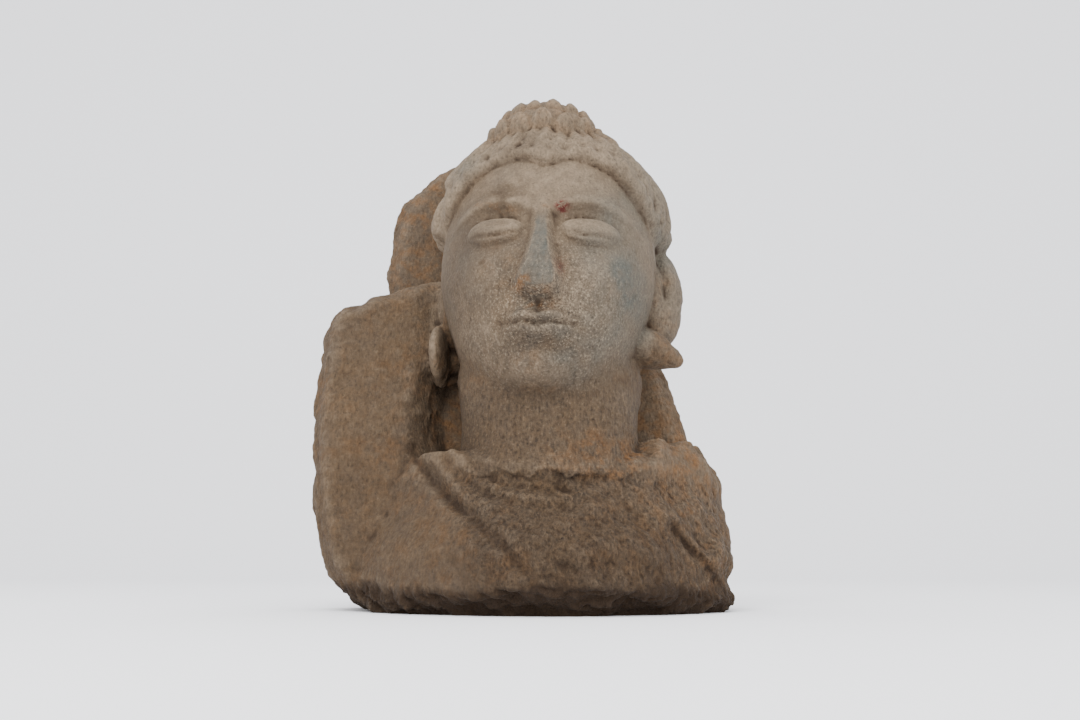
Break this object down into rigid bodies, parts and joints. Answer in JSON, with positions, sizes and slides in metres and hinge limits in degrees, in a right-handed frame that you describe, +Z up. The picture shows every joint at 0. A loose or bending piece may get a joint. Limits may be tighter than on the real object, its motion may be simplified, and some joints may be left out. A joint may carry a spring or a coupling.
{
  "type": "stone relief head fragment",
  "caption": "Broken schist relief: a bodhisattva's head with topknot and long ears, neck and robe collar, joined to its slab, standing on its flat underside.",
  "frame": {"origin": "middle of the bounding box's bottom, on the plane the stone stands on", "axes": "+Z up, along the height; -Y is the carved front, +Y the slab's back, +X the viewer's right"},
  "size_m": [0.1794, 0.1258, 0.2219],
  "materials": {
    "schist": "matt weathered grey-brown schist with brown iron stains"
  },
  "bodies": {
    "root": {"head_fragment": "schist"}
  },
  "joints": []
}
